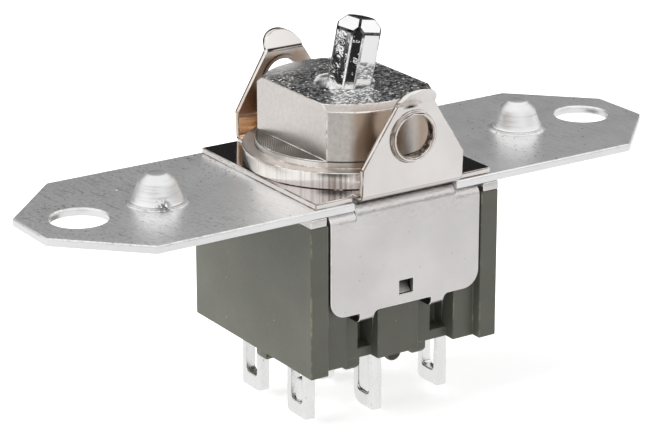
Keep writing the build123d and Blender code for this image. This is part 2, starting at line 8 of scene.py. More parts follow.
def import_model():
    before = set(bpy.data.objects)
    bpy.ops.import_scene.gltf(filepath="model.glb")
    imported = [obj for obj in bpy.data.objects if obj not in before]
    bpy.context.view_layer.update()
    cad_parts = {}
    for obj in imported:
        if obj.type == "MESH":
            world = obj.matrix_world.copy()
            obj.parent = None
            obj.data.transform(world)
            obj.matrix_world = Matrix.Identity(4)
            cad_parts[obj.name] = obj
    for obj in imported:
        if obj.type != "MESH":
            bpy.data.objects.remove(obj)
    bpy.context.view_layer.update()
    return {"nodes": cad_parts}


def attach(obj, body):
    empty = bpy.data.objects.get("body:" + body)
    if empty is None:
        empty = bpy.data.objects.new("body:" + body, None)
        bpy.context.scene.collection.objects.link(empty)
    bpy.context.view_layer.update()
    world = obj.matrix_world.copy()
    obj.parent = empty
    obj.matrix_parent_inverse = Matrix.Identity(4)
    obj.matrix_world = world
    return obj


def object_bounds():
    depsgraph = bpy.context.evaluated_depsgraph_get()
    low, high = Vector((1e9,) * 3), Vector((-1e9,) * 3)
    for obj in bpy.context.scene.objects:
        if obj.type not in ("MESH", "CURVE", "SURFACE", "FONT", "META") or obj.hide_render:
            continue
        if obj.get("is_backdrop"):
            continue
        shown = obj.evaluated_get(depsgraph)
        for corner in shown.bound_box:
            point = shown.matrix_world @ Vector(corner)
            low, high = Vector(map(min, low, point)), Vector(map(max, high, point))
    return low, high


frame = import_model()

MM = 0.001
NODES = frame["nodes"]

# Camera fitted to the photograph: degrees, millimetres, and the lens in pixels
CAMERA_TURN = (-33.2365, 19.3794, -0.06)
CAMERA_PLACE = (-83.080, -124.690, 49.392)
CAMERA_FOCAL = 2685.92
PHOTO_WIDTH = 650

# Places on the object that its marks and zones follow, in millimetres and degrees
WEAR_X = (12.5, 7.5)
CONE_X = 12.65
CONE_TOP_Z = 1.70
CONE_CROWN_RADIUS = 0.46
SMEAR_PLACE = (-13.07, -1.49, 0.18)
PLATE_TOP_Z = 0.34
EAR_HOLE = (0.0, 0.0, 3.5)
# Rings and bend lines of the ears that carry painted dark reflections
HOLE_LIP = (1.22, 1.33)
COLLAR_FOOT = (1.47, 1.58)
EAR_STREAK_X = (-0.60, 0.10)
EAR_STREAK_Z = (5.20, 5.37)
EAR_CREASE_Z = (5.38, 5.50)
PIVOT = (0, 0, 3.3)
LEVER_TURN = (0, -12, 0)
LEFT_FACE_X = -1.06
LEFT_CORNER = -1.67
CALM_Z = (2.0, 2.9)
CROWN_Z = 4.56
BARREL_TOP_Z = 5.05
BARREL_FLAT_X = -3.68
# Where the painted brown reflection of the ears lies on the post's round side
BROWN_START_X = (-2.75, -2.25)
BROWN_GAP_X = (0.55, 1.75)
BROWN_TOP_Z = (5.0, 4.6)
BROWN_FOOT_Z = (1.2, 1.5)
CLEAN_X = (1.5, -0.5)
CLEAN_Y = (2.4, 4.2)
LEDGE_Z = (1.70, 1.80)
FLANGE_Z = (0.40, 1.30)
FLANGE_SHADE_X = (-4.35, -3.15)
SOCKET_RADIUS = 2.2
SWIRL_CENTRE = (-17.0, 9.0, 0.0)
FLAP_BEND_Z = (-1.9, -0.1)
FLAP_RECESS_Y = 6.28
WINDOW_X = (-0.56, 0.56)
WINDOW_Z = (-6.3, -5.2)
HOOK_Z = -6.85
CASE_FOOT_Z = -10.20

# Rounded edges in millimetres, and the gap over which split vertices join
EDGE_WIDTHS = {
    "mounting_strap": 0.11,
    "frame": 0.05,
    "case": 0.08,
    "rocker_bracket": 0.06,
    "bushing": 0.05,
    "lever": 0.10,
}
TERMINAL_EDGE = 0.08
SEAM = 0.01

# Old solder in lugs: centre and half sizes in millimetres, and roughness
SOLDER_LUMPS = {
    "solder_front_common": ((0.02, -2.50, -12.02), (0.33, 0.575, 1.56), 0.05),
    "solder_front_left": ((-4.72, -2.72, -12.30), (0.30, 0.30, 0.72), 0.08),
}

# Studio in metres: lamps with size, place, target and watts
LAMPS = {
    "key": ((0.46, 0.40), (-0.40, 0.12, 0.24), (0, 0, -0.004), 2.75),
    "front": ((0.40, 0.25), (0.14, -0.42, 0.14), (0, 0, -0.004), 0.34),
    "top": ((0.25, 0.25), (0.0, 0.05, 0.45), (0, 0, 0), 0.7),
}

# Standing boards with start, end, foot, top and grey level
BOARD_FOOT = -0.0145
BOARDS = {
    "back_flag": ((-0.20, 0.34), (0.42, 0.10), -0.014, 0.155, 0.01),
    "streak_flag": ((0.036, -0.244), (0.204, -0.136), BOARD_FOOT, 0.045, 0.02),
    "front_flag": ((-0.15, -0.08), (-0.07, -0.15), BOARD_FOOT, 0.03, 0.01),
    "left_flag": ((-0.16, 0.07), (-0.10, 0.16), BOARD_FOOT, 0.012, 0.01),
}
FLAT_BOARD = [(0.005, 0.045), (0.045, 0.020), (0.085, 0.065), (0.030, 0.100)]

# Floor below the object, and how bright the camera and the mirrors see it
FLOOR_GAP = 0.0001
FLOOR_HALF = 0.9
FLOOR_SEEN = 0.66
FLOOR_MIRRORED = 0.86

# Brightness of the surroundings as light, and as seen or mirrored
WORLD_LIGHT = 0.30
WORLD_SEEN = 1.0


# Camera
def photo_camera():
    """Camera whose view matches the photograph."""
    azimuth, elevation, roll = [math.radians(angle) for angle in CAMERA_TURN]
    back = Vector(
        (
            math.sin(azimuth) * math.cos(elevation),
            -math.cos(azimuth) * math.cos(elevation),
            math.sin(elevation),
        )
    )
    right = Vector((0, 0, 1)).cross(back).normalized()
    up = back.cross(right)
    turned_right = math.cos(roll) * right + math.sin(roll) * up
    turned_up = -math.sin(roll) * right + math.cos(roll) * up
    data = bpy.data.cameras.new("photo_camera")
    data.sensor_width = 36.0
    data.lens = CAMERA_FOCAL / PHOTO_WIDTH * data.sensor_width
    data.clip_start, data.clip_end = 0.01, 5.0
    camera = bpy.data.objects.new("photo_camera", data)
    bpy.context.scene.collection.objects.link(camera)
    turn = Matrix((turned_right, turned_up, back)).transposed()
    camera.matrix_world = Matrix.Translation(Vector(CAMERA_PLACE) * MM) @ turn.to_4x4()
    bpy.context.scene.camera = camera


# Materials
class Shader:
    """Small builder of node materials in object coordinates."""

    def __init__(self, name):
        self.material = bpy.data.materials.new(name)
        self.material.use_nodes = True
        self.nodes = self.material.node_tree.nodes
        self.links = self.material.node_tree.links
        self.surface = self.nodes["Principled BSDF"]
        self.place = self.nodes.new("ShaderNodeTexCoord").outputs["Object"]

    def put(self, socket, value):
        """A socket takes a link, a number or a colour."""
        if isinstance(value, bpy.types.NodeSocket):
            self.links.new(value, socket)
        elif isinstance(value, tuple) and len(value) == 3 and socket.type == "RGBA":
            socket.default_value = (*value, 1)
        else:
            socket.default_value = value

    def feed(self, name, value):
        """Sets one input of the surface."""
        self.put(self.surface.inputs[name], value)

    def mapped(self, scale, turn=(0, 0, 0), shift=(0, 0, 0)):
        """Object coordinates shifted, turned and scaled in cycles per metre."""
        moved = self.nodes.new("ShaderNodeVectorMath")
        moved.operation = "SUBTRACT"
        self.links.new(self.place, moved.inputs[0])
        moved.inputs[1].default_value = [c * MM for c in shift]
        turned = self.nodes.new("ShaderNodeVectorRotate")
        turned.rotation_type = "EULER_XYZ"
        turned.inputs["Rotation"].default_value = [math.radians(a) for a in turn]
        self.links.new(moved.outputs["Vector"], turned.inputs["Vector"])
        scaled = self.nodes.new("ShaderNodeVectorMath")
        scaled.operation = "MULTIPLY"
        self.links.new(turned.outputs["Vector"], scaled.inputs[0])
        scaled.inputs[1].default_value = scale
        return scaled.outputs["Vector"]

    def axis(self, index, turn=(0, 0, 0), shift=(0, 0, 0)):
        """One turned coordinate in millimetres."""
        split = self.nodes.new("ShaderNodeSeparateXYZ")
        self.links.new(self.mapped((1000, 1000, 1000), turn, shift), split.inputs[0])
        return split.outputs[index]

    def noise(self, scale, turn=(0, 0, 0), detail=3.0, rough=0.5, distortion=0.0):
        """Noise value at a scale given per axis."""
        node = self.nodes.new("ShaderNodeTexNoise")
        node.inputs["Scale"].default_value = 1.0
        node.inputs["Detail"].default_value = detail
        node.inputs["Roughness"].default_value = rough
        node.inputs["Distortion"].default_value = distortion
        self.links.new(self.mapped(scale, turn), node.inputs["Vector"])
        return node.outputs["Fac"]

    def cells(self, scale, turn=(0, 0, 0)):
        """Distance to the nearest of scattered points."""
        node = self.nodes.new("ShaderNodeTexVoronoi")
        node.inputs["Scale"].default_value = 1.0
        self.links.new(self.mapped(scale, turn), node.inputs["Vector"])
        return node.outputs["Distance"]

    def rings(self, centre, pitch):
        """Fine circles round an upright axis, in a millimetre pitch."""
        node = self.nodes.new("ShaderNodeTexWave")
        node.wave_type = "RINGS"
        node.rings_direction = "Z"
        node.inputs["Scale"].default_value = 0.3 / pitch
        node.inputs["Distortion"].default_value = 5.0
        node.inputs["Detail"].default_value = 3.0
        self.links.new(self.mapped((1000, 1000, 1000), shift=centre), node.inputs["Vector"])
        return node.outputs["Fac"]

    def near(self, centre, inner, outer):
        """One within the inner millimetre radius of a point, zero beyond the outer."""
        node = self.nodes.new("ShaderNodeVectorMath")
        node.operation = "LENGTH"
        self.links.new(self.mapped((1000, 1000, 1000), shift=centre), node.inputs[0])
        return self.ramp(node.outputs["Value"], outer, inner)

    def radius(self, centre, spread):
        """Millimetre distance from an axis; spread is zero along it and one across."""
        node = self.nodes.new("ShaderNodeVectorMath")
        node.operation = "LENGTH"
        self.links.new(self.mapped([1000 * a for a in spread], shift=centre), node.inputs[0])
        return node.outputs["Value"]

    def ramp(self, value, low, high, from_value=0.0, to_value=1.0):
        """Value remapped from low..high to from_value..to_value and clamped."""
        node = self.nodes.new("ShaderNodeMapRange")
        node.inputs["From Min"].default_value = low
        node.inputs["From Max"].default_value = high
        node.inputs["To Min"].default_value = from_value
        node.inputs["To Max"].default_value = to_value
        self.links.new(value, node.inputs["Value"])
        return node.outputs["Result"]

    def math(self, operation, a, b):
        """One arithmetic step on sockets or numbers."""
        node = self.nodes.new("ShaderNodeMath")
        node.operation = operation
        self.put(node.inputs[0], a)
        self.put(node.inputs[1], b)
        return node.outputs["Value"]

    def absolute(self, value):
        """Size of a value without its sign."""
        return self.math("ABSOLUTE", value, 0.0)

    def times(self, *values):
        """Product of several values."""
        total = values[0]
        for value in values[1:]:
            total = self.math("MULTIPLY", total, value)
        return total

    def band(self, value, low, high, soft=0.04):
        """One between two levels, zero outside them."""
        return self.times(
            self.ramp(value, low - soft, low + soft), self.ramp(value, high + soft, high - soft)
        )

    def mix(self, factor, a, b):
        """Colour that goes from a to b with the factor."""
        node = self.nodes.new("ShaderNodeMix")
        node.data_type = "RGBA"
        self.put(node.inputs[6], a)
        self.put(node.inputs[7], b)
        self.put(node.inputs[0], factor)
        return node.outputs[2]

    def blend(self, factor, a, b):
        """Number that goes from a to b with the factor."""
        node = self.nodes.new("ShaderNodeMix")
        self.put(node.inputs[2], a)
        self.put(node.inputs[3], b)
        self.put(node.inputs[0], factor)
        return node.outputs[0]

    def bump(self, *layers):
        """Bumps stacked from (height, strength, distance in micrometres)."""
        normal = None
        for height, strength, distance in layers:
            node = self.nodes.new("ShaderNodeBump")
            self.put(node.inputs["Strength"], strength)
            node.inputs["Distance"].default_value = distance * 1e-6
            self.links.new(height, node.inputs["Height"])
            if normal:
                self.links.new(normal, node.inputs["Normal"])
            normal = node.outputs["Normal"]
        self.links.new(normal, self.surface.inputs["Normal"])


def grey(value, tint=(1.0, 1.0, 1.0)):
    """Linear grey with a tint."""
    return tuple(value * t for t in tint)


def strap_wear(s, blend, speckle):
    """Ground colour of the strap, more worn toward its ends and on its left arm."""
    hairs = s.noise((5200, 520, 5200), (0, 0, -8), detail=2.0)
    across = s.absolute(s.axis(0))
    wear = s.times(s.ramp(across, *WEAR_X, 0.85, 0.30), s.ramp(s.axis(0), 0.0, 6.0, 1.0, 0.55))
    colour = s.mix(s.ramp(blend, 0.38, 0.60), s.mix(wear, grey(0.95), grey(0.84)), grey(1.0))
    colour = s.mix(s.times(s.ramp(speckle, 0.44, 0.60), wear, 0.40), colour, grey(0.42))
    return s.mix(s.times(s.ramp(hairs, 0.60, 0.66), wear, 0.45), colour, grey(0.28))


def strap_pits(s, colour, flat):
    """Dark pits in patches and a few larger nicks, on the strap's top."""
    patch = s.noise((130, 130, 130), detail=2.0)
    pits = s.times(s.ramp(s.cells((3100, 3100, 3100)), 0.26, 0.12), s.ramp(patch, 0.52, 0.64))
    few = s.ramp(s.cells((900, 1300, 900), (10, 20, 30)), 0.10, 0.04)
    colour = s.mix(s.times(pits, flat, 0.75), colour, grey(0.10))
    return s.mix(s.times(few, flat, 0.75), colour, grey(0.06))


def strap_cones(s, colour, raised, turned):
    """Turned sides of the two pressed cones, and the ring on each crown."""
    colour = s.mix(s.times(raised, s.ramp(turned, 0.55, 0.70), 0.35), colour, grey(0.5))
    dx = s.math("SUBTRACT", s.absolute(s.axis(0)), CONE_X)
    dy = s.axis(1)
    off_axis = s.math("SQRT", s.math("ADD", s.times(dx, dx), s.times(dy, dy)), 0.0)
    crown = s.ramp(s.axis(2), CONE_TOP_Z - 0.08, CONE_TOP_Z)
    middle = s.ramp(off_axis, CONE_CROWN_RADIUS, CONE_CROWN_RADIUS - 0.06)
    rim = s.band(off_axis, CONE_CROWN_RADIUS, CONE_CROWN_RADIUS + 0.07, 0.02)
    colour = s.mix(s.times(crown, middle, 0.6), colour, grey(0.42))
    return s.mix(s.times(crown, rim, 0.6), colour, grey(0.30))


def strap_sheet():
    """Plated sheet with grain along Y, wear, pits, a black smear and turned cones."""
    s = Shader("strap_sheet")
    grain = s.noise((9000, 500, 9000), (0, 0, -4), detail=4.0, rough=0.62)
    speckle = s.noise((4300, 4300, 4300), detail=3.0, rough=0.7)
    cloud = s.noise((330, 330, 330), detail=3.0)
    turned = s.noise((500, 500, 8200), detail=2.0)
    blend = s.math("ADD", s.times(grain, 0.6), s.times(cloud, 0.4))
    height = s.axis(2)
    flat = s.ramp(height, -0.06, -0.01)
    raised = s.ramp(height, 0.08, 0.16)
    side = s.ramp(height, -0.05, -0.11)
    smear = s.times(s.near(SMEAR_PLACE, 0.10, 0.62), s.ramp(speckle, 0.45, 0.52))
    dust = s.ramp(s.cells((420, 420, 420), (20, 35, 60)), 0.045, 0.03)
    colour = strap_pits(s, strap_wear(s, blend, speckle), flat)
    colour = s.mix(raised, colour, s.mix(s.ramp(cloud, 0.3, 0.7), grey(0.80), grey(0.96)))
    colour = strap_cones(s, colour, raised, turned)
    colour = s.mix(s.times(smear, 0.9), colour, grey(0.03))
    colour = s.mix(side, colour, s.mix(s.ramp(cloud, 0.3, 0.7), grey(0.93), grey(1.0)))
    s.feed("Base Color", s.mix(dust, colour, grey(0.85)))
    s.feed("Metallic", s.blend(dust, 0.94, 0.0))
    s.feed("Roughness", s.blend(raised, s.ramp(blend, 0.3, 0.7, 0.42, 0.31), 0.45))
    s.bump(
        (grain, s.blend(side, 0.55, 0.12), 22),
        (cloud, 0.10, 60),
        (turned, s.times(raised, 0.25), 25),
    )
    return s.material


def ear_reflections(s, ear, height):
    """Painted dark reflections: a streak on the front ear's bend, a crease line on the rear one's bend,
    and rings round both holes.
    """
    # Noise that breaks up the painted dark reflections
    reflection_breakup = s.noise((1500, 1500, 3000), detail=3.0, rough=0.6)
    dark = (0.05, 0.035, 0.028)
    front = s.ramp(s.axis(1), 0.2, -0.2)
    rear = s.ramp(s.axis(1), -0.2, 0.2)
    streak = s.times(s.band(s.axis(0), *EAR_STREAK_X, 0.22), s.band(height, *EAR_STREAK_Z, 0.05), front)
    ear = s.mix(s.times(streak, s.ramp(reflection_breakup, 0.34, 0.46)), ear, (0.02, 0.017, 0.015))
    crease = s.times(s.band(height, *EAR_CREASE_Z, 0.03), rear)
    ear = s.mix(s.times(crease, s.ramp(reflection_breakup, 0.26, 0.40)), ear, (0.05, 0.030, 0.020))
    reach = s.radius(EAR_HOLE, (1, 0, 1))
    seam = s.times(s.band(reach, *COLLAR_FOOT, 0.04), s.ramp(s.axis(0), 0.9, -0.3))
    lip = s.times(s.band(reach, *HOLE_LIP, 0.03), s.ramp(height, 4.4, 3.6))
    marks = s.math("MAXIMUM", seam, lip)
    return s.mix(s.times(marks, s.ramp(reflection_breakup, 0.32, 0.50), 0.95), ear, dark)


def bracket_sheet():
    """Warm plated sheet, satin on the ears and mirror bright on the base."""
    s = Shader("bracket_sheet")
    cloud = s.noise((420, 420, 420), detail=2.0)
    fine = s.noise((2600, 2600, 2600), detail=2.0)
    height = s.axis(2)
    base = s.ramp(height, PLATE_TOP_Z + 0.06, PLATE_TOP_Z)
    rim = s.ramp(height, PLATE_TOP_Z - 0.01, PLATE_TOP_Z - 0.03)
    plate = s.mix(rim, grey(0.55, (1.0, 0.95, 0.97)), grey(0.80, (1.0, 0.97, 0.95)))
    ear_low, ear_high = grey(0.80, (1.0, 0.955, 0.925)), grey(0.88, (1.0, 0.96, 0.93))
    ear = s.mix(s.ramp(cloud, 0.3, 0.7), ear_low, ear_high)
    # Painted brown reflection of the post on the rear ear, stronger toward its foot
    behind = s.times(s.ramp(s.axis(1), 6.0, 6.3), s.ramp(height, 5.2, 0.8))
    ear = s.mix(behind, ear, (0.86, 0.64, 0.46))
    s.feed("Base Color", s.mix(base, ear_reflections(s, ear, height), plate))
    s.feed("Metallic", 1.0)
    s.feed("Roughness", s.blend(base, s.ramp(cloud, 0.3, 0.7, 0.20, 0.15), 0.07))
    s.bump((fine, s.blend(base, 0.04, 0.01), 14))
    return s.material


def metal_edge(name, low, high, size, dark_below=None):
    """Narrow rounded edge of metal, patchy with painted highlights and painted dark reflections, and
    brown below a height if one is given.
    """
    s = Shader(name)
    patch = s.noise((size, size, size), detail=4.0, rough=0.7)
    colour = s.mix(s.ramp(patch, 0.42, 0.58), low, high)
    if dark_below is not None:
        deep = s.ramp(s.axis(2), dark_below + 0.05, dark_below - 0.05)
        colour = s.mix(s.times(deep, s.ramp(patch, 0.62, 0.52)), colour, (0.14, 0.09, 0.06))
    s.feed("Base Color", colour)
    s.feed("Metallic", 1.0)
    s.feed("Roughness", s.ramp(patch, 0.3, 0.7, 0.3, 0.2))
    return s.material


def flap_sheet():
    """Satin tinned sheet with faint clouds, rougher on its bends, with painted shade in its recesses:
    the window and the bent hooks.
    """
    s = Shader("flap_sheet")
    cloud = s.noise((240, 240, 240), detail=3.0)
    fine = s.noise((3600, 3600, 3600), detail=3.0)
    height = s.axis(2)
    depth = s.absolute(s.axis(1))
    bends = s.band(height, *FLAP_BEND_Z, 0.25)
    specks = s.ramp(s.cells((1300, 1300, 1300)), 0.07, 0.03)
    warm = (1.0, 0.97, 0.955)
    colour = s.mix(s.ramp(cloud, 0.3, 0.7), grey(0.74, warm), grey(0.86, warm))
    colour = s.mix(s.times(specks, 0.5), colour, grey(0.25, (1.0, 0.9, 0.8)))
    # Painted shade in the recessed window and on the bent hooks
    within = s.ramp(depth, FLAP_RECESS_Y + 0.08, FLAP_RECESS_Y)
    window_shade = s.times(s.band(s.axis(0), *WINDOW_X), s.band(height, *WINDOW_Z), within)
    hook_shade = s.times(s.ramp(height, HOOK_Z, HOOK_Z - 0.10), within)
    colour = s.mix(window_shade, colour, (0.34, 0.33, 0.32))
    colour = s.mix(hook_shade, colour, (0.11, 0.10, 0.095))
    s.feed("Base Color", colour)
    s.feed("Metallic", 1.0)
    s.feed("Roughness", s.ramp(fine, 0.3, 0.7, 0.42, 0.34))
    s.bump((fine, s.blend(bends, 0.16, 0.9), 45), (cloud, s.blend(bends, 0.06, 0.6), 90))
    return s.material


def barrel_colour(s, fine, across, height):
    """Grey round side of the post with a painted brown reflection of the ears, and its lighter left
    flat.
    """
    warm = (1.0, 0.945, 0.90)
    flat = s.ramp(across, BARREL_FLAT_X + 0.06, BARREL_FLAT_X)
    round_low, round_high = grey(0.53, (1.0, 0.93, 0.87)), grey(0.64, (1.0, 0.93, 0.88))
    round_colour = s.mix(s.ramp(fine, 0.35, 0.65), round_low, round_high)
    flat_colour = s.mix(s.ramp(fine, 0.35, 0.65), grey(0.76, warm), grey(0.86, warm))
    colour = s.mix(flat, round_colour, flat_colour)
    # Painted brown reflection of the ears on the round side
    upper, lower = s.ramp(height, *BROWN_TOP_Z), s.ramp(height, *BROWN_FOOT_Z)
    gap = s.band(across, *BROWN_GAP_X, 0.3)
    brown = s.times(s.ramp(across, *BROWN_START_X), upper, lower, s.blend(gap, 1.0, 0.1))
    return s.mix(s.times(brown, 0.85), colour, (0.40, 0.29, 0.21))


def speckled_top(s, fine, clean):
    """Dark and light grains of the post's top, lighter where it is clean."""
    colour = s.mix(s.ramp(fine, 0.47, 0.57), grey(0.08), grey(1.0))
    return s.mix(s.times(clean, 0.8), colour, grey(0.95))


def flange_side(s, streak, across):
    """Upright streaks of painted reflection round the flange, and painted shade over a stretch at its
    left front.
    """
    low, high = grey(0.80, (1.0, 0.93, 0.86)), grey(1.0, (1.0, 0.96, 0.92))
    # Painted reflection streaks round the flange
    colour = s.mix(s.ramp(streak, 0.34, 0.52), low, high)
    shade = s.times(s.band(across, *FLANGE_SHADE_X, 0.4), s.ramp(streak, 0.66, 0.40))
    return s.mix(s.times(shade, 0.80), colour, (0.30, 0.235, 0.19))


def bushing_metal():
    """Milled and plated post: speckled top, swirled ledges, streaked flange."""
    s = Shader("bushing_metal")
    across = s.axis(0)
    height = s.axis(2)
    fine = s.noise((4000, 4000, 4000), detail=4.0, rough=0.75)
    grain = s.noise((700, 700, 2600), detail=3.0)
    streak = s.noise((4200, 4200, 90), detail=4.0, rough=0.65)
    patch = s.noise((500, 500, 500), detail=2.0)
    swirl = s.rings(SWIRL_CENTRE, 0.12)
    cut = s.times(swirl, s.ramp(patch, 0.40, 0.62), s.ramp(s.axis(1), -2.8, 1.0))
    top = s.ramp(height, BARREL_TOP_Z - 0.03, BARREL_TOP_Z)
    ledge = s.band(height, *LEDGE_Z, 0.02)
    side = s.band(height, *FLANGE_Z, 0.02)
    middle = s.ramp(s.radius((0.0, 0.0, 0.0), (1, 1, 0)), SOCKET_RADIUS + 0.1, SOCKET_RADIUS)
    socket = s.times(middle, s.ramp(height, BARREL_TOP_Z - 0.02, BARREL_TOP_Z - 0.07))
    clean = s.times(s.ramp(s.axis(1), *CLEAN_Y), s.ramp(across, *CLEAN_X))
    few = s.ramp(s.cells((1500, 1500, 1500)), 0.12, 0.07)
    many = s.times(s.ramp(s.cells((2900, 2900, 2900)), 0.24, 0.16), s.ramp(clean, 1.0, 0.0, 0.0, 0.9))
    dust = s.times(top, s.math("MAXIMUM", few, many))
    ledge_colour = s.mix(cut, grey(0.10, (1.0, 0.90, 0.82)), grey(0.60, (1.0, 0.92, 0.86)))
    colour = s.mix(top, barrel_colour(s, fine, across, height), speckled_top(s, fine, clean))
    colour = s.mix(ledge, colour, ledge_colour)
    colour = s.mix(side, colour, flange_side(s, streak, across))
    # Painted light: the shaded socket walls round the ball are made full white
    colour = s.mix(socket, colour, grey(1.0))
    plain = s.ramp(grain, 0.3, 0.7, 0.34, 0.27)
    rough = s.blend(top, plain, s.ramp(fine, 0.3, 0.7, 0.38, 0.26))
    s.feed("Base Color", s.mix(dust, colour, grey(0.95)))
    s.feed("Metallic", s.blend(dust, 1.0, 0.0))
    s.feed("Roughness", s.blend(side, s.blend(ledge, rough, 0.34), 0.24))
    s.bump(
        (fine, s.blend(top, 0.07, 0.60), 16),
        (grain, 0.06, 14),
        (cut, s.times(ledge, 0.4), 30),
        (streak, s.times(side, 0.10), 30),
    )
    return s.material


def lever_chrome():
    """Bright plated bar with hammered dents on its left faces."""
    s = Shader("lever_chrome")
    across, along, height = [s.axis(index, LEVER_TURN, PIVOT) for index in range(3)]
    facing = s.math("ADD", across, s.times(along, -0.167))
    left = s.ramp(facing, LEFT_FACE_X + 0.04, LEFT_FACE_X - 0.04)
    corner = s.ramp(s.math("ADD", across, along), LEFT_CORNER + 0.05, LEFT_CORNER - 0.05)
    body = s.ramp(height, CROWN_Z + 0.10, CROWN_Z)
    dents = s.noise((1500, 1500, 1100), LEVER_TURN, detail=2.5, rough=0.55, distortion=0.5)
    ripples = s.noise((2600, 2600, 2600), LEVER_TURN, detail=3.0, rough=0.6)
    cloud = s.noise((620, 620, 420), LEVER_TURN, detail=2.0)
    calm = s.band(height, *CALM_Z, 0.35)
    worn = s.times(left, body, s.ramp(cloud, 0.34, 0.50), s.blend(calm, 1.0, 0.25))
    chipped = s.times(corner, body, s.ramp(ripples, 0.52, 0.62))
    s.feed("Base Color", s.mix(s.ramp(cloud, 0.3, 0.7), grey(0.92), grey(0.98)))
    s.feed("Metallic", 1.0)
    s.feed("Roughness", s.blend(worn, 0.07, 0.12))
    s.bump(
        (dents, worn, 170),
        (ripples, s.math("ADD", s.times(worn, 0.5), s.times(chipped, 0.9)), 90),
        (cloud, 0.03, 60),
    )
    return s.material


def lever_edge():
    """Rounded corners of the lever: painted dark reflection round its crown, bright down its sides."""
    s = Shader("lever_edge")
    patch = s.noise((900, 900, 900), detail=4.0, rough=0.7)
    crown = s.ramp(s.axis(2, LEVER_TURN, PIVOT), CROWN_Z - 0.16, CROWN_Z)
    # Painted dark reflection on the crown's edges
    dark = s.mix(s.ramp(patch, 0.42, 0.58), grey(0.01), grey(0.14))
    plain = s.mix(s.ramp(patch, 0.40, 0.62), grey(0.45), grey(0.98))
    s.feed("Base Color", s.mix(crown, plain, dark))
    s.feed("Metallic", 1.0)
    s.feed("Roughness", s.ramp(patch, 0.3, 0.7, 0.25, 0.12))
    return s.material


def case_resin():
    """Olive moulded resin with a fine grain, pale specks and dark feet."""
    s = Shader("case_resin")
    cloud = s.noise((350, 350, 350), detail=3.0)
    fine = s.noise((5200, 5200, 5200), detail=3.0)
    colour = s.mix(s.ramp(cloud, 0.35, 0.65), (0.118, 0.120, 0.096), (0.136, 0.138, 0.112))
    specks = s.ramp(s.cells((900, 900, 900)), 0.05, 0.02)
    colour = s.mix(s.times(specks, 0.9), colour, (0.42, 0.44, 0.28))
    foot = s.ramp(s.axis(2), CASE_FOOT_Z, CASE_FOOT_Z - 0.12)
    middle = s.times(s.band(s.axis(0), -0.8, 0.8), s.ramp(s.absolute(s.axis(1)), 4.5, 4.55))
    colour = s.mix(s.times(foot, middle), colour, (0.035, 0.026, 0.022))
    s.feed("Base Color", colour)
    s.feed("Roughness", s.ramp(fine, 0.3, 0.7, 0.50, 0.38))
    s.bump((fine, 0.25, 14), (cloud, 0.05, 60))
    return s.material


def edge_flash():
    """Paler resin along the moulded edges, broken up by its noise."""
    s = Shader("case_edge")
    patch = s.noise((700, 700, 700), detail=4.0, rough=0.7)
    s.feed("Base Color", s.mix(s.ramp(patch, 0.50, 0.62), (0.115, 0.120, 0.092), (0.21, 0.22, 0.145)))
    s.feed("Roughness", s.ramp(patch, 0.3, 0.7, 0.5, 0.35))
    return s.material


def tin(name, rough, lumps):
    """Hot tinned metal, bright, with soft lumps and small pits."""
    s = Shader(name)
    cloud = s.noise((900, 900, 450), detail=4.0, rough=0.6)
    fine = s.noise((5000, 5000, 2500), detail=3.0)
    pits = s.times(s.ramp(s.cells((1700, 1700, 1200)), 0.14, 0.05), s.ramp(cloud, 0.5, 0.6))
    low, high = grey(0.90, (1.0, 1.0, 0.99)), grey(1.0, (1.0, 1.0, 0.995))
    colour = s.mix(s.ramp(cloud, 0.3, 0.7), low, high)
    s.feed("Base Color", s.mix(s.times(pits, 0.6), colour, grey(0.25)))
    s.feed("Metallic", 1.0)
    s.feed("Roughness", s.ramp(fine, 0.3, 0.7, rough + 0.06, rough - 0.05))
    s.bump((cloud, lumps, 40), (fine, 0.10, 16))
    return s.material


def plain_metal(name, low, high, tint, roughness):
    """Metal with soft clouds in colour and gloss."""
    s = Shader(name)
    cloud = s.noise((1200, 1200, 1200), detail=4.0, rough=0.6)
    s.feed("Base Color", s.mix(s.ramp(cloud, 0.35, 0.65), grey(low, tint), grey(high, tint)))
    s.feed("Metallic", 1.0)
    s.feed("Roughness", s.ramp(cloud, 0.3, 0.7, roughness + 0.06, roughness - 0.04))
    s.bump((cloud, 0.06, 30))
    return s.material


def insulator():
    """Natural moulded insulator of the parts inside."""
    s = Shader("actuator_resin")
    cloud = s.noise((500, 500, 500), detail=3.0)
    s.feed("Base Color", s.mix(s.ramp(cloud, 0.35, 0.65), (0.66, 0.62, 0.52), (0.75, 0.71, 0.62)))
    s.feed("Roughness", s.ramp(cloud, 0.3, 0.7, 0.5, 0.4))
    s.bump((cloud, 0.1, 30))
    return s.material


def paint(material, *names, edge=None):
    """Gives nodes one material, and another for their rounded edges if one is given."""
    for name in names:
        mesh = NODES[name].data
        mesh.materials.clear()
        mesh.materials.append(material)
        if edge:
            mesh.materials.append(edge)


